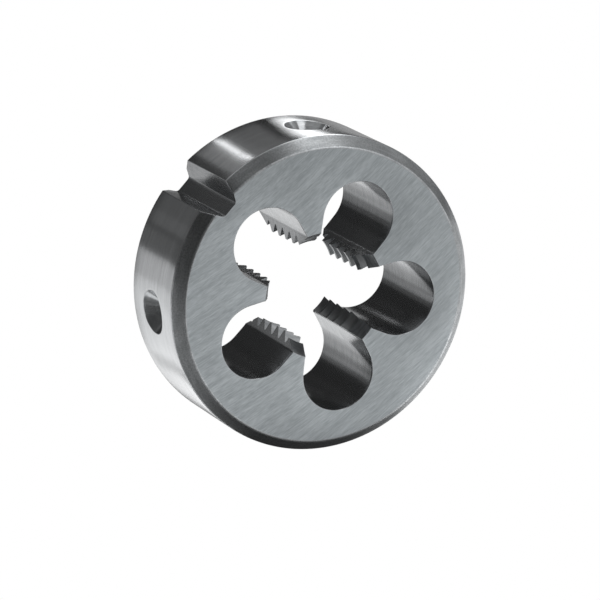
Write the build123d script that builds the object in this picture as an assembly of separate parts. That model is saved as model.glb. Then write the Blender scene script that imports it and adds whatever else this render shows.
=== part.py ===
from build123d import *
import math
import os

os.makedirs("parts", exist_ok=True)

# Round threading die, M14 x 2, in millimetres.
# It lies on its back face: the thread axis is Z, the back face is on Z = 0 and the front face is up.

# ---- driving dimensions ----
die_diameter = 38.0
die_thickness = 14.0
rim_chamfer = 1.25            # 45 degree chamfer round both faces

thread_diameter = 14.0        # nominal thread size
thread_pitch = 2.0
thread_start = 1.0            # height of a groove's centre line at the X axis
root_clearance = 0.05         # groove floor beyond the nominal size, on the radius
lead_clearance = 0.58         # mouth of a lead cone beyond the nominal size, on the radius
lead_half_angle = 29.0        # slope of the lead cones from the axis, degrees

land_count = 5                # lands, and chip holes between them
rim_wall = 4.72               # solid ring between the chip holes and the outside
land_root = 1.28              # half width of a land between the drilled rounds of two chip holes
land_waist = 0.88             # half width of a land just behind its teeth, where it is narrowest
land_tip = 1.07               # half width of a land across its thread crests
waist_setback = 0.6           # waist beyond the nominal thread size, on the radius
waist_round = 1.2             # rounding of a chip hole's wall at the waist

slot_direction = -45.0        # adjusting slot, angle about the axis
slot_depth = 2.35
slot_floor = 2.1              # width of the slot's flat floor
slot_angle = 60.0             # angle between the slot's walls

dimple_spread = 48.8          # set-screw dimples, either side of the slot
dimple_diameter = 5.3         # across the mouth
dimple_angle = 90.0

# ---- sizes that follow from them ----
die_radius = die_diameter / 2
thread_radius = thread_diameter / 2
crest_radius = thread_radius - 5 / 8 * thread_pitch * math.sqrt(3) / 2
root_radius = thread_radius + root_clearance
root_flat = thread_pitch / 8
lead_radius = thread_radius + lead_clearance
lead_slope = math.tan(math.radians(lead_half_angle))
lead_depth = (lead_radius - crest_radius) / lead_slope

land_step = 360.0 / land_count
half_step = math.radians(land_step / 2)
chip_hole_offset = (die_radius - rim_wall + land_root) / (1 + math.sin(half_step))
chip_hole_radius = die_radius - rim_wall - chip_hole_offset
waist_radius = thread_radius + waist_setback
past = 1.0                    # how far cutters run past the faces


def disc_blank():
    """Plain disc, chamfered round both faces."""
    disc = Cylinder(die_radius, die_thickness, align=(Align.CENTER, Align.CENTER, Align.MIN))
    return chamfer(disc.edges().filter_by(GeomType.CIRCLE), rim_chamfer)


def bore():
    """Bore through the thread crests, opening out to each face in a lead cone."""
    mouth = lead_radius + past * lead_slope
    outline = Polyline(
        (0, -past), (mouth, -past), (crest_radius, lead_depth),
        (crest_radius, die_thickness - lead_depth),
        (mouth, die_thickness + past), (0, die_thickness + past), close=True)
    return revolve(Plane.XZ * make_face(outline), Axis.Z)


def beside_land(radius, half_width, side):
    """Point on a land's flank, given its distance from the axis, in the chip hole's own frame."""
    spread = half_step - math.asin(half_width / radius)
    return (radius * math.cos(spread), side * radius * math.sin(spread))


def flank_start(point, side):
    """Point where the flank running out from the waist point touches the drilled round."""
    across, up = point[0] - chip_hole_offset, point[1]
    reach = math.acos(chip_hole_radius / math.hypot(across, up))
    turn = math.atan2(up, across) - side * reach
    return (chip_hole_offset + chip_hole_radius * math.cos(turn), chip_hole_radius * math.sin(turn))


def chip_hole():
    """Cutter for the chip hole on the +X side.

    A drilled round opens toward the bore between two straight land flanks, which draw in
    to the waists of the lands and spread again behind their teeth."""
    waist_high = beside_land(waist_radius, land_waist, 1)
    waist_low = beside_land(waist_radius, land_waist, -1)
    tip_high = beside_land(crest_radius, land_tip, 1)
    tip_low = beside_land(crest_radius, land_tip, -1)
    flank_high = flank_start(waist_high, 1)
    flank_low = flank_start(waist_low, -1)
    farthest = (chip_hole_offset + chip_hole_radius, 0)
    middle = (tip_high[0] / 2, 0)

    drilled = ThreePointArc(flank_low, farthest, flank_high)
    throat = Polyline(
        flank_high, waist_high, tip_high, middle, tip_low, waist_low, flank_low)
    opening = make_face(Wire([drilled, *throat.edges()]))
    waists = [
        corner for corner in opening.vertices()
        for waist in (waist_high, waist_low)
        if math.dist((corner.X, corner.Y), waist) < 1e-4]
    opening = fillet(waists, waist_round)
    return Pos(0, 0, -past) * extrude(opening, die_thickness + 2 * past)


def chip_holes():
    """The chip holes round the axis, one of them in line with the adjusting slot."""
    cutter = chip_hole()
    return [Rot(0, 0, slot_direction + land_step * turn) * cutter for turn in range(land_count)]


def groove_piece(arc):
    """Sixty degree thread groove over a short arc that starts on the X axis."""
    inside = 0.3                                   # it starts this far within the crests
    depth = root_radius - crest_radius
    half_mouth = root_flat / 2 + (depth + inside) * math.tan(math.radians(30))
    path = Helix(thread_pitch, thread_pitch * arc / 360, crest_radius)
    start = Plane(origin=path @ 0, x_dir=(1, 0, 0), z_dir=(0, 1, 0))
    profile = start * Polygon(
        (-inside, -half_mouth), (depth, -root_flat / 2),
        (depth, root_flat / 2), (-inside, half_mouth), align=None)
    return sweep(profile, path, is_frenet=True)


def thread_grooves():
    """Right-hand thread grooves across every land, turn above turn."""
    arc = 2 * (math.degrees(math.asin(land_tip / crest_radius)) + 6)
    piece = groove_piece(arc)
    turns = math.ceil(die_thickness / thread_pitch) + 2
    grooves = []
    for land in range(land_count):
        angle = (slot_direction + land_step * (land + 0.5) - arc / 2) % 360
        lowest = (thread_start + thread_pitch * angle / 360) % thread_pitch - thread_pitch
        for turn in range(turns):
            grooves.append(Pos(0, 0, lowest + thread_pitch * turn) * Rot(0, 0, angle) * piece)
    return grooves


def adjusting_slot():
    """Flat-bottomed V slot down the outside, where the die can be split and spread."""
    over = 1.0
    half_floor = slot_floor / 2
    half_mouth = half_floor + (slot_depth + over) * math.tan(math.radians(slot_angle / 2))
    profile = Polygon(
        (die_radius - slot_depth, -half_floor), (die_radius + over, -half_mouth),
        (die_radius + over, half_mouth), (die_radius - slot_depth, half_floor), align=None)
    return Rot(0, 0, slot_direction) * Pos(0, 0, -past) * extrude(profile, die_thickness + 2 * past)


def dimples():
    """Conical dimples for the holder's set screws, at mid thickness."""
    over = 1.0
    slope = math.tan(math.radians(dimple_angle / 2))
    half_mouth = dimple_diameter / 2
    rim = math.sqrt(die_radius ** 2 - half_mouth ** 2)
    depth = half_mouth / slope
    outline = Polyline((0, 0), (0, depth + over), (half_mouth + over * slope, depth + over), close=True)
    cone = revolve(Plane.XZ * make_face(outline), Axis.Z)
    cone = Pos(rim - depth, 0, die_thickness / 2) * Rot(0, 90, 0) * cone
    return [Rot(0, 0, slot_direction + side * dimple_spread) * cone for side in (-1, 1)]


def die_body():
    """The finished die, one piece of hardened steel."""
    body = disc_blank() - bore()
    body = body - chip_holes()
    body = body - thread_grooves()
    body = body - adjusting_slot()
    return body - dimples()


die = die_body()
die.label = "die_body"
export_step(die, "parts/die_body.step")
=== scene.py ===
import math

import bmesh
import bpy
import numpy as np
from mathutils import Matrix, Quaternion, Vector
from mathutils.geometry import delaunay_2d_cdt


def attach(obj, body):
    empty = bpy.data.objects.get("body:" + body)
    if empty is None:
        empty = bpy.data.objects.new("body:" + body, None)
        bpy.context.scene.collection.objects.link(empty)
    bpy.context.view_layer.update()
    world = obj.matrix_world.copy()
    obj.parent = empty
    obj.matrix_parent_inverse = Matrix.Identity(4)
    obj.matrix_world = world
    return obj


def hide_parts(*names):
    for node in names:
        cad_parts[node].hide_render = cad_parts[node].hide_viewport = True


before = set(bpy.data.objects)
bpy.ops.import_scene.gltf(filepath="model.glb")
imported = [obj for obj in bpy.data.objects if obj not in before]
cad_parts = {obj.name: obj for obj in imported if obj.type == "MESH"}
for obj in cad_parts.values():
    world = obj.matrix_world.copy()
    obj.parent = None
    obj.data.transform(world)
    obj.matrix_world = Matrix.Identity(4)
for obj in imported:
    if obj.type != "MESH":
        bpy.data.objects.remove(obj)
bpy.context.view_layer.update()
print("frame loaded")

mm = 0.001
scene = bpy.context.scene

# The die, in millimetres and degrees, lying on its back face with the thread's axis up
die = {
    "radius": 18.998,             # 2 microns inside the CAD's own, coarser facets
    "thickness": 14.0,
    "rimChamfer": 1.25,
    "threadRadius": 7.0,          # nominal, M14
    "pitch": 2.0,
    "threadStart": 1.0,           # height of a groove's centre line at the X axis
    "rootClearance": 0.05,
    "leadClearance": 0.58,        # mouth of a lead cone beyond the nominal radius
    "leadHalfAngle": 29.0,
    "lands": 5,
    "rimWall": 4.72,              # ring outside the chip holes
    "landRoot": 1.28,             # half widths of a land
    "landWaist": 0.88,
    "landTip": 1.07,
    "waistSetback": 0.6,          # of the waist from the nominal thread
    "waistRound": 1.2,
    "slotDirection": -45.0,
    "slotDepth": 2.35,
    "slotFloor": 2.1,
    "slotAngle": 60.0,            # between the slot's walls
    "slotCorner": 0.3,            # reach of the rounds at its floor
    "slotMouth": 0.07,            # and at its mouth
    "dimpleSpread": 48.8,         # set-screw dimples either side of the slot
    "dimpleDiameter": 5.3,
    "dimpleAngle": 90.0,
    "dimplePoint": 0.12,          # how far the cone's point is blunted
    "rimCorner": 0.18,            # reach of the rounds along the chamfers
    "brokenEdge": 0.06,           # what stoning takes off the other edges
    "wheelPivot": (60.0, -92.0),  # the flats' grinding marks are arcs about this point
}
# How many cells its mesh has
cells = {
    "brokenEdge": 4,
    "waist": 8,
    "toothFace": 8,
    "chipHole": 56,
    "rimCorner": 4,
    "slotCorner": 6,
    "slotMouth": 4,
    "besideSlot": 22,             # round the rim, from the slot to a dimple's patch
    "dimplePatch": 16,            # along each side of the patch
    "betweenDimples": 150,        # round the rim, from one dimple's patch to the other's
}

radius, thickness = die["radius"], die["thickness"]
pitch = die["pitch"]
brokenEdge = die["brokenEdge"]
crestRadius = die["threadRadius"] - 5 / 8 * pitch * math.sqrt(3) / 2
rootRadius = die["threadRadius"] + die["rootClearance"]
rootFlat = pitch / 8
leadRadius = die["threadRadius"] + die["leadClearance"]
leadSlope = math.tan(math.radians(die["leadHalfAngle"]))
leadDepth = (leadRadius - crestRadius) / leadSlope
flankSlope = 1 / math.tan(math.radians(30))          # thread flank, radius against height
halfMouth = rootFlat / 2 + (rootRadius - crestRadius) / flankSlope
landStep = 360 / die["lands"]
halfStep = math.radians(landStep / 2)
holeOffset = (radius - die["rimWall"] + die["landRoot"]) / (1 + math.sin(halfStep))
holeRadius = radius - die["rimWall"] - holeOffset

# places of the finishes among the piece's material slots
groundFace, groundRim, turnedChamfer, reamedHole, cutThread, milledSlot, drilledDimple = range(7)

patches = []        # each a grid of points, a grid of tool-mark coordinates, and a finish


def addPatch(points, marks, finish):
    # a point's marks are its lengths along the tool marks and across them, in millimetres
    patches.append((np.asarray(points, float), np.asarray(marks, float), finish))


def unit(vectors):
    # each vector over its own length
    return vectors / np.linalg.norm(vectors, axis=-1, keepdims=True)


def polar(distance, angle):
    # the distance times the cosine and the sine of the angle
    return np.stack([distance * np.cos(angle), distance * np.sin(angle)], -1)


def quarterTurn(vector):
    # minus the second number, then the first: the vector turned left by a right angle
    return np.array([-vector[1], vector[0]])


def mitre(first, second):
    # offset direction at a corner: the sum of both unit normals over one plus their product
    return (first + second) / (1 + (first * second).sum(-1, keepdims=True))


def rounded(before, corner, after, reach, count):
    # quadratic curve whose middle control point is the corner and whose ends are at reach from it
    start = corner + reach * unit(before - corner)
    end = corner + reach * unit(after - corner)
    t = np.linspace(0, 1, count + 1).reshape(-1, *([1] * corner.ndim))
    return (1 - t) ** 2 * start + 2 * t * (1 - t) * corner + t ** 2 * end


def roundedProfile(corners, reaches, count):
    # polyline whose inner corners are replaced by such curves
    corners = [np.array(corner, float) for corner in corners]
    line = [corners[0][None]]
    for before, corner, after, reach in zip(corners, corners[1:], corners[2:], reaches):
        line.append(rounded(before, corner, after, reach, count))
    return np.concatenate(line + [corners[-1][None]])


# Flank of a land, as points along the land's own direction and across it
def flankLine():
    # straight from the tip to the waist and on to the chip hole. The second run touches the hole
    # where the angle at the hole's centre has the hole's radius over the waist's distance as its
    # cosine. The waist is filleted: the fillet's centre stands its radius off both runs.
    tip = np.array([math.sqrt(crestRadius ** 2 - die["landTip"] ** 2), die["landTip"]])
    waistRadius = die["threadRadius"] + die["waistSetback"]
    waist = np.array([math.sqrt(waistRadius ** 2 - die["landWaist"] ** 2), die["landWaist"]])
    centre = holeOffset * np.array([math.cos(halfStep), math.sin(halfStep)])
    away = waist - centre
    turn = math.atan2(away[1], away[0]) + math.acos(holeRadius / np.linalg.norm(away))
    touch = centre + holeRadius * np.array([math.cos(turn), math.sin(turn)])
    inward, outward = unit(waist - tip), unit(touch - waist)
    bend = math.acos(inward @ outward)
    start = waist - inward * die["waistRound"] * math.tan(bend / 2)
    side = quarterTurn(inward)
    angle = math.atan2(-side[1], -side[0]) + np.linspace(0, bend, cells["waist"] + 1)
    normals = polar(1.0, angle)           # into the land
    arc = start + die["waistRound"] * side + die["waistRound"] * normals
    return tip, arc, normals, touch, -side


tipPoint, waistArc, waistNormals, touchPoint, tipNormal = flankLine()
beforeWaist = tipPoint + (waistArc[0] - tipPoint) * 0.8
flankStations = np.vstack([beforeWaist, waistArc])
flankNormals = np.vstack([tipNormal, waistNormals])
tipRun = np.linspace(tipPoint, waistArc[0], 60)[:-1]
wholeFlank = np.vstack([tipRun, waistArc, touchPoint])
wholeFlankRadius = np.hypot(*wholeFlank.T)


def halfWidth(distance):
    # the flank's distance across the land, read off its line at that distance from the axis
    return np.interp(distance, wholeFlankRadius, wholeFlank[:, 1])


def intoLand(points, middle, side):
    # the length along times the land's direction, plus the length across times its left side,
    # or its right side where side is minus one
    out = polar(1.0, middle)
    return points[..., :1] * out + points[..., 1:] * quarterTurn(out) * side


# Bore and thread
def boreRadius(height, angle):
    # the greatest of the crest, the two lead cones and the thread groove. The groove's centre line
    # climbs by the pitch in a turn, and the groove gets shallower away from it, down to the crest.
    fromEnd = np.minimum(height, thickness - height)
    base = np.maximum(crestRadius, leadRadius - leadSlope * fromEnd)
    rise = height - die["threadStart"] - pitch * np.degrees(angle) / 360
    offCentre = np.abs((rise + pitch / 2) % pitch - pitch / 2)
    groove = np.minimum(rootRadius, crestRadius + (halfMouth - offCentre) * flankSlope)
    return np.maximum(base, groove)


def threadRows(angle):
    # heights at which the bore's outline bends at that angle: for each turn, where both flanks
    # leave the crest or a lead cone, and both ends of the root flat
    turns = np.arange(-2, math.ceil(thickness / pitch) + 1)
    centre = die["threadStart"] + pitch * (np.degrees(angle)[..., None] / 360 % 1 + turns)
    high = thickness - leadDepth
    low, top = centre - halfMouth, centre + halfMouth
    steep, gentle = flankSlope + leadSlope, flankSlope - leadSlope
    enter = np.maximum.reduce([
        low,
        (low * flankSlope + leadDepth * leadSlope) / steep,
        (low * flankSlope - high * leadSlope) / gentle])
    leave = np.minimum.reduce([
        top,
        (top * flankSlope - leadDepth * leadSlope) / gentle,
        (top * flankSlope + high * leadSlope) / steep])
    rootDepth = leadDepth - (rootRadius - crestRadius) / leadSlope    # where a cone meets the roots
    enter = np.maximum(enter, rootDepth)
    leave = np.minimum(leave, thickness - rootDepth)
    gone = enter > leave
    enter, leave = np.where(gone, centre, enter), np.where(gone, centre, leave)
    rootStart = np.clip(centre - rootFlat / 2, enter, leave)
    rootEnd = np.clip(centre + rootFlat / 2, enter, leave)
    fixed = np.broadcast_to(
        [brokenEdge, leadDepth, high, thickness - brokenEdge], (*np.shape(angle), 4))
    rows = np.concatenate([enter, rootStart, rootEnd, leave, fixed], -1)
    return np.sort(np.clip(rows, brokenEdge, thickness - brokenEdge), -1)


def evenRows(count):
    # heights in equal steps from one broken edge to the other
    return np.linspace(brokenEdge, thickness - brokenEdge, count)[:, None]


def toothGrid(middle):
    # a land's face toward the axis, by height and by place across. A place's angle has the half
    # width over the distance as its sine, and the distance depends on the angle, so both are
    # found in a few rounds.
    share = np.linspace(-1, 1, cells["toothFace"] + 1)
    angle = middle + share * math.asin(die["landTip"] / crestRadius)
    size = threadRows(angle).shape[-1], len(share)
    pick = np.broadcast_to(np.arange(size[0])[:, None, None], (*size, 1))
    angle = np.broadcast_to(angle, size)
    for _ in range(5):
        height = np.take_along_axis(threadRows(angle), pick, -1)[..., 0]
        distance = boreRadius(height, angle)
        angle = middle + share * np.arcsin(halfWidth(distance) / distance)
    return distance, angle, height


def landFlank(middle, side, tipDistance, tipAngle, tipHeight):
    # one side of a land: its stations out from the teeth, none nearer than the teeth are
    cut = np.hypot(*flankStations.T) <= tipDistance
    tipAcross = halfWidth(tipDistance)
    tip = np.stack([np.sqrt(tipDistance ** 2 - tipAcross ** 2), tipAcross], -1)
    line = np.concatenate([tip, np.where(cut[..., None], tip, flankStations)], 1)
    normals = intoLand(flankNormals, middle, side)
    # where the teeth meet the flank, the edge moves along the mitre of both walls
    onTipRun = tipDistance < np.hypot(*waistArc[0])
    nearNormal = np.where(onTipRun[..., None], normals[0], normals[1])
    corner = mitre(polar(1.0, tipAngle), nearNormal)
    offset = np.concatenate([corner, np.where(cut[..., None], corner, normals)], 1)
    # rows are the teeth's own at first, and even out towards the chip hole
    blend = np.clip(np.linspace(-0.15, 1, line.shape[1]), 0, 1)
    rows = tipHeight * (1 - blend) + evenRows(len(tipHeight)) * blend
    return intoLand(line, middle, side), rows, offset


def chipHole(middle, rowCount, flankEnd, flankEndNormal):
    # arc about the hole's centre from this land's touching point to the next land's, with the ends
    # of both lands' flanks before and after it
    holeAngle = middle + halfStep
    out = polar(1.0, holeAngle)
    touchAngle = halfStep - math.atan2(touchPoint[1], touchPoint[0])
    touchDistance = math.hypot(*touchPoint)
    reach = math.atan2(
        touchDistance * math.sin(touchAngle), touchDistance * math.cos(touchAngle) - holeOffset)
    sweep = np.linspace(-reach, reach, cells["chipHole"] + 1)[:, None]
    ring = np.cos(sweep) * out + np.sin(sweep) * quarterTurn(out)
    arc = polar(holeOffset, holeAngle) + holeRadius * ring
    nextMiddle = middle + math.radians(landStep)
    plan = np.vstack([flankEnd, arc, intoLand(waistArc[-1], nextMiddle, -1)])
    normals = np.vstack([flankEndNormal, ring, intoLand(waistNormals[-1], nextMiddle, -1)])
    size = rowCount, *plan.shape
    rows = np.broadcast_to(evenRows(rowCount), size[:2])
    return np.broadcast_to(plan, size), rows, np.broadcast_to(normals, size)


def closeEdge(ring, height, offset, atTop):
    # quarter round from a wall into a flat face: the wall moves out by the edge times one minus
    # the cosine while the height goes up by the edge times the sine
    bend = np.radians(np.linspace(0, 90, cells["brokenEdge"] + 1)[1:])[:, None]
    out = brokenEdge * (1 - np.cos(bend))
    rise = brokenEdge * np.sin(bend)
    plan = ring[None] + out[..., None] * offset[None]
    level = height + rise if atTop else height - rise
    level = np.broadcast_to(level[..., None], (*plan.shape[:2], 1))
    points = np.concatenate([plan, level], -1)
    return points if atTop else points[::-1]


def withEdges(plan, height, offset):
    # a wall's grid, with the round edges of both faces added below and above it
    wall = np.concatenate([plan, height[..., None]], -1)
    low = closeEdge(plan[0], height[:1, :1], offset[0], False)
    high = closeEdge(plan[-1], height[-1:, :1], offset[-1], True)
    return np.concatenate([low, wall, high])


def lengthAlong(points):
    # steps between the columns of the middle row, added up
    row = points[len(points) // 2]
    return np.r_[0, np.cumsum(np.linalg.norm(np.diff(row, axis=0), axis=1))]


def addWall(points, finish):
    # tool marks run level round a wall: along them is the length round it, across is the height
    along = np.broadcast_to(lengthAlong(points), points.shape[:2])
    addPatch(points, np.stack([along, points[..., 2]], -1), finish)


innerRing = {False: [], True: []}       # plan of the inner outline, on the back and on the front
for land in range(die["lands"]):
    middle = math.radians(die["slotDirection"] + landStep * (land + 0.5))
    distance, angle, height = toothGrid(middle)
    lowPlan, lowRows, lowOffset = landFlank(
        middle, -1, distance[:, :1], angle[:, :1], height[:, :1])
    highPlan, highRows, highOffset = landFlank(
        middle, 1, distance[:, -1:], angle[:, -1:], height[:, -1:])
    toothOffset = polar(1.0, angle)
    toothOffset[:, 0], toothOffset[:, -1] = lowOffset[:, 0], highOffset[:, 0]
    teeth = withEdges(polar(distance, angle), height, toothOffset)
    lowFlank = withEdges(lowPlan[:, ::-1], lowRows[:, ::-1], lowOffset[:, ::-1])
    highFlank = withEdges(highPlan, highRows, highOffset)
    hole = withEdges(*chipHole(middle, len(height), highPlan[0, -1], highOffset[0, -1]))
    addWall(teeth, cutThread)
    for wall in (lowFlank, highFlank, hole):
        addWall(wall, reamedHole)
    for wall in (lowFlank, teeth, highFlank, hole):
        innerRing[False].append(wall[0, :-1, :2])
        innerRing[True].append(wall[-1, :-1, :2])
print("lands and chip holes:", die["lands"])

# Outside: rim, chamfers, slot and dimples
chamfer = die["rimChamfer"]
slotDirection = math.radians(die["slotDirection"])
patchCells = cells["dimplePatch"]
patchHalfHeight, patchHalfAngle = 3.5, 10.5     # of the patch of rim round a dimple
slotMargin = 9.0                                # where the rim's even columns start, degrees


def rimProfile():
    # radius and height up the outside: up a chamfer one to one, straight up the rim and in again,
    # with more rows on the chamfers and even rows past the dimples
    inFace = radius - chamfer - 0.5
    line = roundedProfile([
        (inFace, 0), (radius - chamfer, 0), (radius, chamfer),
        (radius, thickness - chamfer), (radius - chamfer, thickness), (inFace, thickness)],
        [brokenEdge] + [die["rimCorner"]] * 3, cells["rimCorner"])[1:-1]
    onChamfer = np.array([[radius - chamfer + rise, rise] for rise in (0.075, 0.5)])
    low = np.vstack([line[line[:, 1] < thickness / 2], onChamfer])
    high = np.vstack([line[line[:, 1] > thickness / 2], onChamfer * [1, -1] + [0, thickness]])
    low, high = [part[np.argsort(part[:, 1], kind="stable")] for part in (low, high)]
    past = np.linspace(
        thickness / 2 - patchHalfHeight, thickness / 2 + patchHalfHeight, patchCells + 1)
    rim = np.stack([np.full(len(past), radius), past], -1)
    return np.vstack([low, rim, high]), len(low)


profile, patchRow = rimProfile()
ringRadius, ringHeight = profile[:, :1], profile[:, 1:]


def slotOutline():
    # half of the slot at each row, from the middle of its floor out to the rim. Half its width is
    # an intercept plus the distance out times the tangent of half its angle, and its wall meets
    # the rim where the squares of both add up to the radius squared. Its edges are eased by a
    # quarter round where it runs out through the faces.
    wallAngle = math.radians(die["slotAngle"] / 2)
    slope = math.tan(wallAngle)
    inside = np.clip(brokenEdge - np.minimum(ringHeight, thickness - ringHeight), 0, None)
    ease = brokenEdge - np.sqrt(brokenEdge ** 2 - inside ** 2)
    floorOut = radius - die["slotDepth"] - ease
    cornerAcross = die["slotFloor"] / 2 + ease / math.cos(wallAngle) - ease * slope
    intercept = cornerAcross - floorOut * slope
    root = np.sqrt(ringRadius ** 2 * (1 + slope ** 2) - intercept ** 2)
    mouthOut = (root - intercept * slope) / (1 + slope ** 2)
    mouth = np.hstack([mouthOut, intercept + mouthOut * slope])
    corner = np.hstack([floorOut, cornerAcross])
    floorMiddle = np.hstack([floorOut, np.zeros_like(floorOut)])
    mouthAngle = np.arctan2(mouth[:, 1], mouth[:, 0])
    furtherRound = polar(ringRadius[:, 0], mouthAngle + 0.02)
    cornerCurve = rounded(floorMiddle, corner, mouth, die["slotCorner"], cells["slotCorner"])
    mouthCurve = rounded(corner, mouth, furtherRound, die["slotMouth"], cells["slotMouth"])
    half = np.concatenate([floorMiddle[None], cornerCurve, mouthCurve]).transpose(1, 0, 2)
    return half, math.degrees(mouthAngle[len(mouthAngle) // 2])


def intoPlace(plan):
    # plan points given from the slot's middle line, turned to its direction and given the height
    # of their row
    c, s = math.cos(slotDirection), math.sin(slotDirection)
    x, y = plan[..., 0] * c - plan[..., 1] * s, plan[..., 0] * s + plan[..., 1] * c
    return np.stack([x, y, np.broadcast_to(ringHeight, x.shape)], -1)


slotHalf, mouthEdge = slotOutline()
otherHalf = slotHalf[:, ::-1] * [1, -1]
spread = die["dimpleSpread"]
arcStops = [slotMargin, spread - patchHalfAngle, spread + patchHalfAngle]
arcStops += [360 - stop for stop in reversed(arcStops)]
arcCells = [
    cells["besideSlot"], patchCells, cells["betweenDimples"], patchCells, cells["besideSlot"]]
arcAngle = np.concatenate([
    np.linspace(start, stop, count + 1)[:-1]
    for start, stop, count in zip(arcStops, arcStops[1:], arcCells)] + [arcStops[-1:]])
arcPlan = polar(ringRadius, np.radians(arcAngle)[None])
slotPoints = intoPlace(np.concatenate([otherHalf[:, :-1], slotHalf], 1))
rimPoints = intoPlace(np.concatenate([slotHalf[:, -1:], arcPlan, otherHalf[:, :1]], 1))
lowRow = np.searchsorted(ringHeight[:, 0], chamfer)
lastRow, lastColumn = rimPoints.shape[0] - 1, rimPoints.shape[1] - 1
highRow = lastRow - lowRow

# turned and ground round the rim, and milled up the slot
alongRim = np.radians(np.concatenate([[mouthEdge], arcAngle, [360 - mouthEdge]])) * radius
rimMarks = np.stack(np.broadcast_arrays(alongRim[None], ringHeight), -1)
slotMarks = np.stack(np.broadcast_arrays(ringHeight, lengthAlong(slotPoints)[None]), -1)


def addRimArea(low, high, start, stop, finish):
    # rows low to high and columns start to stop of the outside's grid
    area = np.s_[low:high + 1, start:stop + 1]
    addPatch(rimPoints[area], rimMarks[area], finish)


addRimArea(0, lowRow, 0, lastColumn, turnedChamfer)
addRimArea(highRow, lastRow, 0, lastColumn, turnedChamfer)
addPatch(slotPoints, slotMarks, milledSlot)
# the rim between the chamfers, without the patches round the dimples
firstPatch, secondPatch = 1 + arcCells[0], 1 + sum(arcCells[:3])
addRimArea(lowRow, highRow, 0, firstPatch, groundRim)
addRimArea(lowRow, highRow, firstPatch + patchCells, secondPatch, groundRim)
addRimArea(lowRow, highRow, secondPatch + patchCells, lastColumn, groundRim)
for start in (firstPatch, secondPatch):
    addRimArea(lowRow, patchRow, start, start + patchCells, groundRim)
    addRimArea(patchRow + patchCells, highRow, start, start + patchCells, groundRim)


def dimple(firstColumn, direction):
    # set-screw dimple: rings from the patch's border to the mouth, then down the cone. The mouth is
    # where the cone cuts the rim: the apex's distance plus size times slope, squared, and size
    # times the cosine of the turn, squared, add up to the radius squared.
    square = rimPoints[patchRow:patchRow + patchCells + 1, firstColumn:firstColumn + patchCells + 1]
    border = np.concatenate([
        square[0, :-1], square[:-1, -1], square[-1, :0:-1], square[:0:-1, 0], square[:1, 0]])
    out = polar(1.0, direction)
    side = quarterTurn(out)
    around = np.arctan2(border[:, 1], border[:, 0]) - direction
    across = ((around + math.pi) % (2 * math.pi) - math.pi) * radius
    up = border[:, 2] - thickness / 2
    turn = np.arctan2(up, across)
    slope = 1 / math.tan(math.radians(die["dimpleAngle"] / 2))
    halfAcross = die["dimpleDiameter"] / 2
    apex = math.sqrt(radius ** 2 - halfAcross ** 2) - halfAcross * slope
    a, b, c = slope ** 2 + np.cos(turn) ** 2, 2 * apex * slope, apex ** 2 - radius ** 2
    size = (-b + np.sqrt(b * b - 4 * a * c)) / (2 * a)

    def onRim(share):
        # points of the rim, from a broken edge outside the mouth at share 0 to the border at 1
        mouthAcross = radius * np.arcsin(size * np.cos(turn) / radius)
        mouthUp = size * np.sin(turn)
        stretch = 1 + brokenEdge / np.hypot(mouthAcross, mouthUp)
        u = mouthAcross * stretch * (1 - share) + across * share
        v = mouthUp * stretch * (1 - share) + up * share
        return np.column_stack([polar(radius, direction + u / radius), v + thickness / 2])

    def onCone(share):
        # points of the cone, from its point at share 0 to the mouth at 1
        here = size * share
        plan = (apex + here * slope)[:, None] * out + (here * np.cos(turn))[:, None] * side
        return np.column_stack([plan, here * np.sin(turn) + thickness / 2])

    rings = np.stack([border] + [onRim(share) for share in (0.75, 0.5, 0.25, 0)])
    fromSlot = np.arctan2(rings[..., 1], rings[..., 0]) - slotDirection
    addPatch(rings, np.stack([radius * fromSlot, rings[..., 2]], -1), groundRim)
    inMouth = 1 - brokenEdge / size
    t = np.linspace(0, 1, cells["brokenEdge"] + 1)[:-1, None, None]
    edge = (1 - t) ** 2 * rings[-1] + 2 * t * (1 - t) * onCone(1) + t ** 2 * onCone(inMouth)
    shares = (inMouth, 0.8, 0.6, 0.4, 0.2, 0.09, 0)
    cone = np.concatenate([edge, [onCone(share) for share in shares]])
    cone[-1] = [*((apex + die["dimplePoint"]) * out), thickness / 2]
    # drilled round the cone: along the marks is the turn times a middling radius, and across them
    # is the way down its wall
    markRadius, wallWidth = 1.5, 4
    down = np.linspace(0, wallWidth, len(cone))[:, None]
    marks = np.broadcast_arrays(np.unwrap(turn)[None] * markRadius, down)
    addPatch(cone, np.stack(marks, -1), drilledDimple)


dimple(firstPatch, slotDirection + math.radians(spread))
dimple(secondPatch, slotDirection - math.radians(spread))
print("rim, chamfers, slot and dimples laid out")


# Flat faces, filled between the outer outline and the inner one
def insideOf(plan, loop):
    # a point is inside when a ray from it crosses the loop an odd number of times
    x, y = plan[:, :1], plan[:, 1:]
    ahead = np.roll(loop, -1, axis=0)
    spans = (loop[:, 1] > y) != (ahead[:, 1] > y)
    rise = np.where(ahead[:, 1] == loop[:, 1], 1.0, ahead[:, 1] - loop[:, 1])
    crossing = loop[:, 0] + (y - loop[:, 1]) * (ahead[:, 0] - loop[:, 0]) / rise
    return (spans & (x < crossing)).sum(1) % 2 == 1


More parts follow.
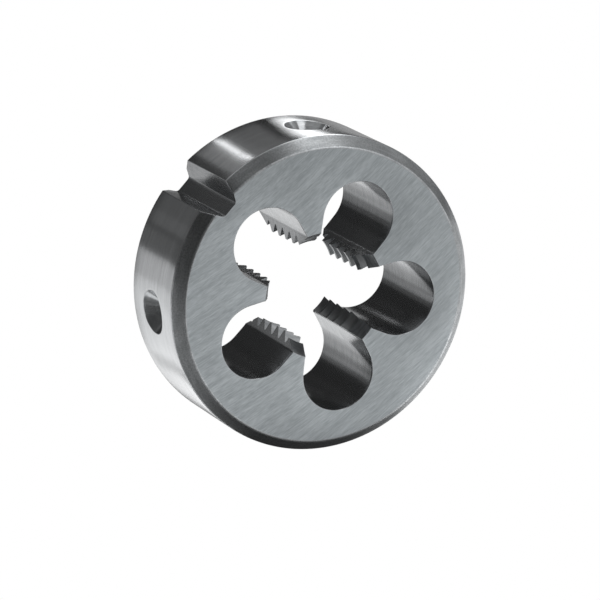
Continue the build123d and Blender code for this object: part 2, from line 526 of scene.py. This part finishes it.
def flatFace(atTop):
    # Delaunay triangles with both outlines as edges, those inside the outer and outside the inner
    row = -1 if atTop else 0
    outer = np.concatenate([rimPoints[row, :-1, :2], slotPoints[row, :-1, :2]])
    loops, edges, first = [], [], 0
    for loop in (outer, np.concatenate(innerRing[atTop])):
        step = np.linalg.norm(loop - np.roll(loop, 1, axis=0), axis=1)
        loop = loop[step > 1e-5]        # a point that two walls share is kept once
        index = np.arange(first, first + len(loop))
        edges += np.stack([index, np.roll(index, -1)], 1).tolist()
        loops.append(loop)
        first += len(loop)
    points = [Vector(point) for point in np.concatenate(loops)]
    filled = delaunay_2d_cdt(points, edges, [], 1, 1e-6)
    plan, triangles = np.array([list(point) for point in filled[0]]), np.array(filled[2])
    middle = plan[triangles].mean(1)
    return plan, triangles[insideOf(middle, loops[0]) & ~insideOf(middle, loops[1])]


def gridQuads(rows, columns, first=0):
    # the corners of each cell: its own point, the next column's, the next of both, the next row's
    index = first + np.arange(rows * columns).reshape(rows, columns)
    quads = np.stack([index[:-1, :-1], index[:-1, 1:], index[1:, 1:], index[1:, :-1]], -1)
    return quads.reshape(-1, 4)


points, faces, marks, faceFinishes = [], [], [], []
first = 0
for grid, markGrid, finish in patches:
    quads = gridQuads(*grid.shape[:2], first)
    points.append(grid.reshape(-1, 3))
    marks.append(markGrid.reshape(-1, 2))
    faces += quads.tolist()
    faceFinishes += [finish] * len(quads)
    first += len(points[-1])
wheelPivot = np.array(die["wheelPivot"])
for atTop in (False, True):
    plan, triangles = flatFace(atTop)
    points.append(np.column_stack([plan, np.full(len(plan), thickness if atTop else 0.0)]))
    # along the arcs is the angle about the pivot times the pivot's distance from the axis
    x, y = (plan - wheelPivot).T
    marks.append(np.column_stack([np.hypot(*wheelPivot) * np.arctan2(y, x), np.hypot(x, y)]))
    faces += (triangles + first).tolist()
    faceFinishes += [groundFace] * len(triangles)
    first += len(plan)

mergeDistance, sharpAngle = 3e-7, 26        # metres, degrees
mesh = bpy.data.meshes.new("roundDie")
mesh.from_pydata((np.concatenate(points) * mm).tolist(), [], faces)
cornerPoints = np.zeros(len(mesh.loops), int)
mesh.loops.foreach_get("vertex_index", cornerPoints)
toolMarks = mesh.uv_layers.new(name="toolMarks")
toolMarks.data.foreach_set("uv", np.concatenate(marks)[cornerPoints].astype(np.float32).ravel())
mesh.polygons.foreach_set("material_index", np.array(faceFinishes, np.int32))
build = bmesh.new()
build.from_mesh(mesh)
bmesh.ops.remove_doubles(build, verts=build.verts, dist=mergeDistance)
bmesh.ops.dissolve_degenerate(build, edges=build.edges, dist=1e-8)
bmesh.ops.recalc_face_normals(build, faces=build.faces)
openEdges = sum(len(edge.link_faces) != 2 for edge in build.edges)
build.to_mesh(mesh)
build.free()
mesh.shade_smooth()
mesh.set_sharp_from_angle(angle=math.radians(sharpAngle))
body = bpy.data.objects.new("roundDieBody", mesh)
scene.collection.objects.link(body)
print("die built:", len(mesh.polygons), "faces,", openEdges, "open edges")


def toLinear(hexColour):
    # sRGB to linear: a value up to 0.04045 over 12.92, and a higher one, plus 0.055 and over
    # 1.055, to the power 2.4
    channels = [int(hexColour[i:i + 2], 16) / 255 for i in (1, 3, 5)]
    linear = [c / 12.92 if c <= 0.04045 else ((c + 0.055) / 1.055) ** 2.4 for c in channels]
    return (*linear, 1.0)


def addNode(tree, kind, settings=None, values=None, links=None):
    # one node, with its settings, its sockets' values and what feeds them
    node = tree.nodes.new(kind)
    for name, value in (settings or {}).items():
        setattr(node, name, value)
    for name, value in (values or {}).items():
        node.inputs[name].default_value = value
    for name, source in (links or {}).items():
        tree.links.new(source, node.inputs[name])
    return node


# Hardened high-speed steel, bare and lightly oiled: a neutral, faintly cool grey metal. Each
# surface shows how it was cut, as fine lines along the tool marks, and its highlights are drawn
# out across them. A line and a band each have a length and a width, and the depth is the lines'
# height, in millimetres. Real grinding lines are about 0.03 mm apart, too fine to show, so they
# are drawn about four times as coarse.
steelFinishes = {
    # surface ground: satin, with long faint arcs from the wheel and soft reflections
    "groundFlat": {
        "colour": "#bec4c7", "streak": "#a2a8ab", "roughness": 0.34, "spread": 0.07,
        "anisotropic": 0.6, "line": (1.3, 0.13), "band": (14.0, 0.7),
        "detail": 3.0, "depth": 0.0006},
    # cylindrically ground rim: the smoothest, with clear banded reflections
    "cylindricallyGround": {
        "colour": "#c5c7c9", "streak": "#bbbdbf", "roughness": 0.19, "spread": 0.03,
        "anisotropic": 0.6, "line": (3.0, 0.12), "band": (14.0, 0.7),
        "detail": 3.0, "depth": 0.0002},
    # chamfers left as turned before hardening: duller and grainy
    "turned": {
        "colour": "#bfc2c4", "streak": "#9b9ea0", "roughness": 0.36, "spread": 0.12,
        "anisotropic": 0.3, "line": (0.22, 0.14), "band": (2.5, 0.4),
        "detail": 3.0, "depth": 0.003},
    # reamed chip holes: smooth and dark, with highlights drawn out along the hole
    "reamed": {
        "colour": "#bdbfc1", "streak": "#b3b5b7", "roughness": 0.2, "spread": 0.02,
        "anisotropic": 0.6, "line": (2.5, 0.3), "band": (0.6, 6.0),
        "detail": 0.0, "depth": 0.0001},
    # tapped thread: a little duller, with marks along the turns
    "cutThread": {
        "colour": "#bbbdbf", "streak": "#aaadaf", "roughness": 0.3, "spread": 0.05,
        "anisotropic": 0.5, "line": (1.5, 0.2), "band": (2.0, 0.4),
        "detail": 0.0, "depth": 0.0003},
    # milled slot: even and slightly darker, with cutter marks up its walls
    "milled": {
        "colour": "#b7b9bb", "streak": "#abadaf", "roughness": 0.25, "spread": 0.04,
        "anisotropic": 0.4, "line": (1.2, 0.2), "band": (2.5, 0.6),
        "detail": 0.5, "depth": 0.0003},
    # drilled dimples: bright rings round a dark point
    "drilled": {
        "colour": "#babcbe", "streak": "#a4a7a9", "roughness": 0.2, "spread": 0.08,
        "anisotropic": 0.4, "line": (0.8, 0.2), "band": (1.0, 0.7),
        "detail": 3.0, "depth": 0.0015},
}
bandShare = 0.4                     # of the bands beside the lines
tintLevels = (0.36, 0.64)           # of the noise, from all streak to all colour
roughLevels = (0.3, 0.7)            # of the noise, from roughest to smoothest
acrossMarks = 0.25                  # of a full turn: highlights stretch across the tool marks


def makeSteel(name, look):
    # lines and bands of noise along the tool marks vary the colour and the roughness, and the
    # lines alone give the relief
    material = bpy.data.materials.new(name + "Steel")
    material.use_nodes = True
    tree = material.node_tree
    marksMap = addNode(tree, "ShaderNodeUVMap", {"uv_map": "toolMarks"})

    def markNoise(size, detail):
        # noise drawn out to that length along the marks and that width across them
        stretched = addNode(
            tree, "ShaderNodeMapping", {}, {"Scale": (1 / size[0], 1 / size[1], 1)},
            {"Vector": marksMap.outputs["UV"]})
        return addNode(
            tree, "ShaderNodeTexNoise", {"noise_dimensions": "2D"},
            {"Scale": 1.0, "Detail": detail, "Roughness": 0.6},
            {"Vector": stretched.outputs["Vector"]})

    line, band = markNoise(look["line"], look["detail"]), markNoise(look["band"], 2.0)
    mixed = addNode(
        tree, "ShaderNodeMix", {"data_type": "FLOAT"}, {"Factor": bandShare},
        {"A": line.outputs["Fac"], "B": band.outputs["Fac"]})
    blend = addNode(
        tree, "ShaderNodeMapRange", {},
        {"From Min": tintLevels[0], "From Max": tintLevels[1]}, {"Value": mixed.outputs["Result"]})
    tint = addNode(
        tree, "ShaderNodeMix", {"data_type": "RGBA"},
        {"A": toLinear(look["streak"]), "B": toLinear(look["colour"])},
        {"Factor": blend.outputs["Result"]})
    rough = addNode(
        tree, "ShaderNodeMapRange", {}, {
            "From Min": roughLevels[0], "From Max": roughLevels[1],
            "To Min": look["roughness"] + look["spread"] / 2,
            "To Max": look["roughness"] - look["spread"] / 2},
        {"Value": mixed.outputs["Result"]})
    relief = addNode(
        tree, "ShaderNodeBump", {}, {"Strength": 1.0, "Distance": look["depth"] * mm},
        {"Height": line.outputs["Fac"]})
    along = addNode(
        tree, "ShaderNodeTangent", {"direction_type": "UV_MAP", "uv_map": "toolMarks"})
    shader = tree.nodes["Principled BSDF"]
    shader.inputs["Metallic"].default_value = 1.0
    shader.inputs["Anisotropic"].default_value = look["anisotropic"]
    shader.inputs["Anisotropic Rotation"].default_value = acrossMarks
    tree.links.new(tint.outputs["Result"], shader.inputs["Base Color"])
    tree.links.new(rough.outputs["Result"], shader.inputs["Roughness"])
    tree.links.new(relief.outputs["Normal"], shader.inputs["Normal"])
    tree.links.new(along.outputs["Tangent"], shader.inputs["Tangent"])
    return material


for name, look in steelFinishes.items():
    mesh.materials.append(makeSteel(name, look))
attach(body, "root")
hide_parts("die_body")
print("finishes:", ", ".join(steelFinishes))


def stageSurface(name, points, faces, strength, sheer=False):
    # white surface that gives light of its own, and when sheer adds it to what lies behind
    shape = bpy.data.meshes.new(name)
    shape.from_pydata(points, [], faces)
    glow = bpy.data.materials.new(name)
    glow.use_nodes = True
    tree = glow.node_tree
    tree.nodes.clear()
    light = addNode(
        tree, "ShaderNodeEmission", {}, {"Color": toLinear("#ffffff"), "Strength": strength})
    if sheer:
        clear = addNode(tree, "ShaderNodeBsdfTransparent")
        light = addNode(
            tree, "ShaderNodeAddShader", links={0: light.outputs[0], 1: clear.outputs[0]})
    addNode(tree, "ShaderNodeOutputMaterial", links={"Surface": light.outputs[0]})
    shape.materials.append(glow)
    surface = bpy.data.objects.new(name, shape)
    scene.collection.objects.link(surface)
    return surface


def shell(reach, elevations, azimuths):
    # part of a sphere about the die's middle, facing in: out are the cosine of the elevation times
    # the cosine and the sine of the azimuth, and up is the sine of the elevation
    rise, turn = np.radians(elevations)[:, None], np.radians(azimuths)[None, :]
    grid = np.stack(np.broadcast_arrays(
        np.cos(rise) * np.cos(turn), np.cos(rise) * np.sin(turn), np.sin(rise)), -1) * reach
    grid = (grid + [0, 0, thickness / 2]) * mm
    faces = gridQuads(len(elevations), len(azimuths))[:, ::-1]
    return grid.reshape(-1, 3).tolist(), faces.tolist()


# White table and backdrop. They fill the view and are not mirrored in the steel, so that the
# soft panels alone shape the reflections.
tableHalf, tableDrop = 1.5, 0.00002         # metres: half a side, and how far under the die
backdropRadius = 2100                       # mm
corners = [(-tableHalf, -tableHalf), (tableHalf, -tableHalf),
           (tableHalf, tableHalf), (-tableHalf, tableHalf)]
floor = stageSurface("floor", [(x, y, 0) for x, y in corners], [(0, 1, 2, 3)], 1.0)
floor.location.z = -tableDrop
backdrop = stageSurface(
    "backdrop", *shell(backdropRadius, np.linspace(-45, 90, 25), np.linspace(0, 360, 65)), 1.0)
for surface in (floor, backdrop):
    surface.visible_glossy = False
    surface.visible_diffuse = False

# Soft panels on two round tents about the die, one as far off as a studio's and one close by,
# with radii in millimetres. A panel is its lowest and highest elevation, the azimuths where it
# starts and ends, and its strength. Where panels overlap, their light adds up.
lightTents = {
    "studio": {"radius": 300.0, "panels": [
        (-37.5, 22.5, 240, 262.5, 1.50),
        (-7.5, 7.5, 0, 30, 1.34),
        (52.5, 67.5, 60, 120, 1.12),
        (-67.5, -52.5, 82.5, 112.5, 0.93),
        (-37.5, -7.5, 135, 180, 0.83),
        (7.5, 52.5, 135, 195, 0.80),
        (52.5, 90, 90, 270, 0.50),
        (-75, -52.5, 150, 195, 0.43),
        (-82.5, -52.5, 60, 82.5, 0.36),
        (-45, -22.5, 125, 210, 0.30),
        (37.5, 67.5, 225, 300, 0.30),
        (-82.5, -52.5, 30, 90, 0.21),
        (-67.5, 7.5, 0, 60, 0.18),
        (-82.5, -60, 345, 465, 0.09),
        (37.5, 50, 54, 70, 0.20),
        (22.5, 52.5, 195, 225, 0.80)]},
    "bench": {"radius": 55.0, "panels": [
        (-52.5, -40, 278, 280.5, 2.60),
        (-37.5, -7.5, 240, 255, 2.32),
        (22.5, 52.5, 232.5, 255, 1.66),
        (-22.5, -7.5, 60, 75, 1.47),
        (-52.5, -7.5, 232.5, 247.5, 1.44),
        (7.5, 37.5, 127.5, 157.5, 1.18),
        (-52.5, -7.5, 7.5, 52.5, 0.62),
        (-52.5, -22.5, 352.5, 367.5, 0.35),
        (-22.5, 7.5, 195, 315, 0.26),
        (52.5, 90, 30, 150, 0.24),
        (-52.5, -37.5, 277.5, 292.5, 0.23),
        (-7.5, 22.5, 210, 240, 0.19),
        (-37.5, 37.5, 285, 300, 0.18),
        (7.5, 67.5, 22.5, 45, 0.17),
        (-52.5, 7.5, 255, 285, 0.14),
        (-82.5, -52.5, 15, 30, 0.13),
        (-52.5, 22.5, 330, 420, 0.07),
        (-52.5, 7.5, 270, 330, 0.04),
        (-55, -45, 232.5, 242, 1.00),
        (-52.5, -38, 62, 86, 0.45),
        (-27.5, 0, 44, 60, 0.55),
        (-52.5, -37.5, 312.5, 337.5, 0.07)]},
}
panelGap = 0.004        # of the tent's radius: each panel hangs a little behind the one before
widestCell = 10         # degrees
for name, tent in lightTents.items():
    for number, (low, high, start, end, strength) in enumerate(tent["panels"]):
        reach = tent["radius"] * (1 + panelGap * number)
        elevations = np.linspace(low, high, math.ceil((high - low) / widestCell) + 1)
        azimuths = np.linspace(start, end, math.ceil((end - start) / widestCell) + 1)
        panel = stageSurface(
            f"{name}Panel{number + 1}", *shell(reach, elevations, azimuths), strength, sheer=True)
        panel.visible_camera = False
    print(name, "panels:", len(tent["panels"]))

roomLight = 0.03        # what a light room adds from all sides
world = bpy.data.worlds.new("studio")
world.use_nodes = True
background = world.node_tree.nodes["Background"]
background.inputs["Color"].default_value = toLinear("#ffffff")
background.inputs["Strength"].default_value = roomLight
scene.world = world
scene.view_settings.view_transform = "Standard"

cameraSet = {
    "location": (193.086, -128.474, 442.615),   # mm
    "aim": (0.093, 2.214, 7.0),                 # mm, the point in the middle of the view
    "roll": 119.744,                            # degrees about the view axis
    "lens": 249.896,                            # mm, on a 36 mm sensor
}
camera = bpy.data.objects.new("camera", bpy.data.cameras.new("camera"))
scene.collection.objects.link(camera)
camera.data.sensor_width = 36
camera.data.lens = cameraSet["lens"]
camera.data.clip_start, camera.data.clip_end = 0.01, 10
place = Vector(cameraSet["location"]) * mm
gaze = Vector(cameraSet["aim"]) * mm - place
roll = Quaternion((0, 0, 1), math.radians(cameraSet["roll"]))
camera.matrix_world = Matrix.LocRotScale(place, gaze.to_track_quat("-Z", "Y") @ roll, None)
scene.camera = camera
print("camera set")
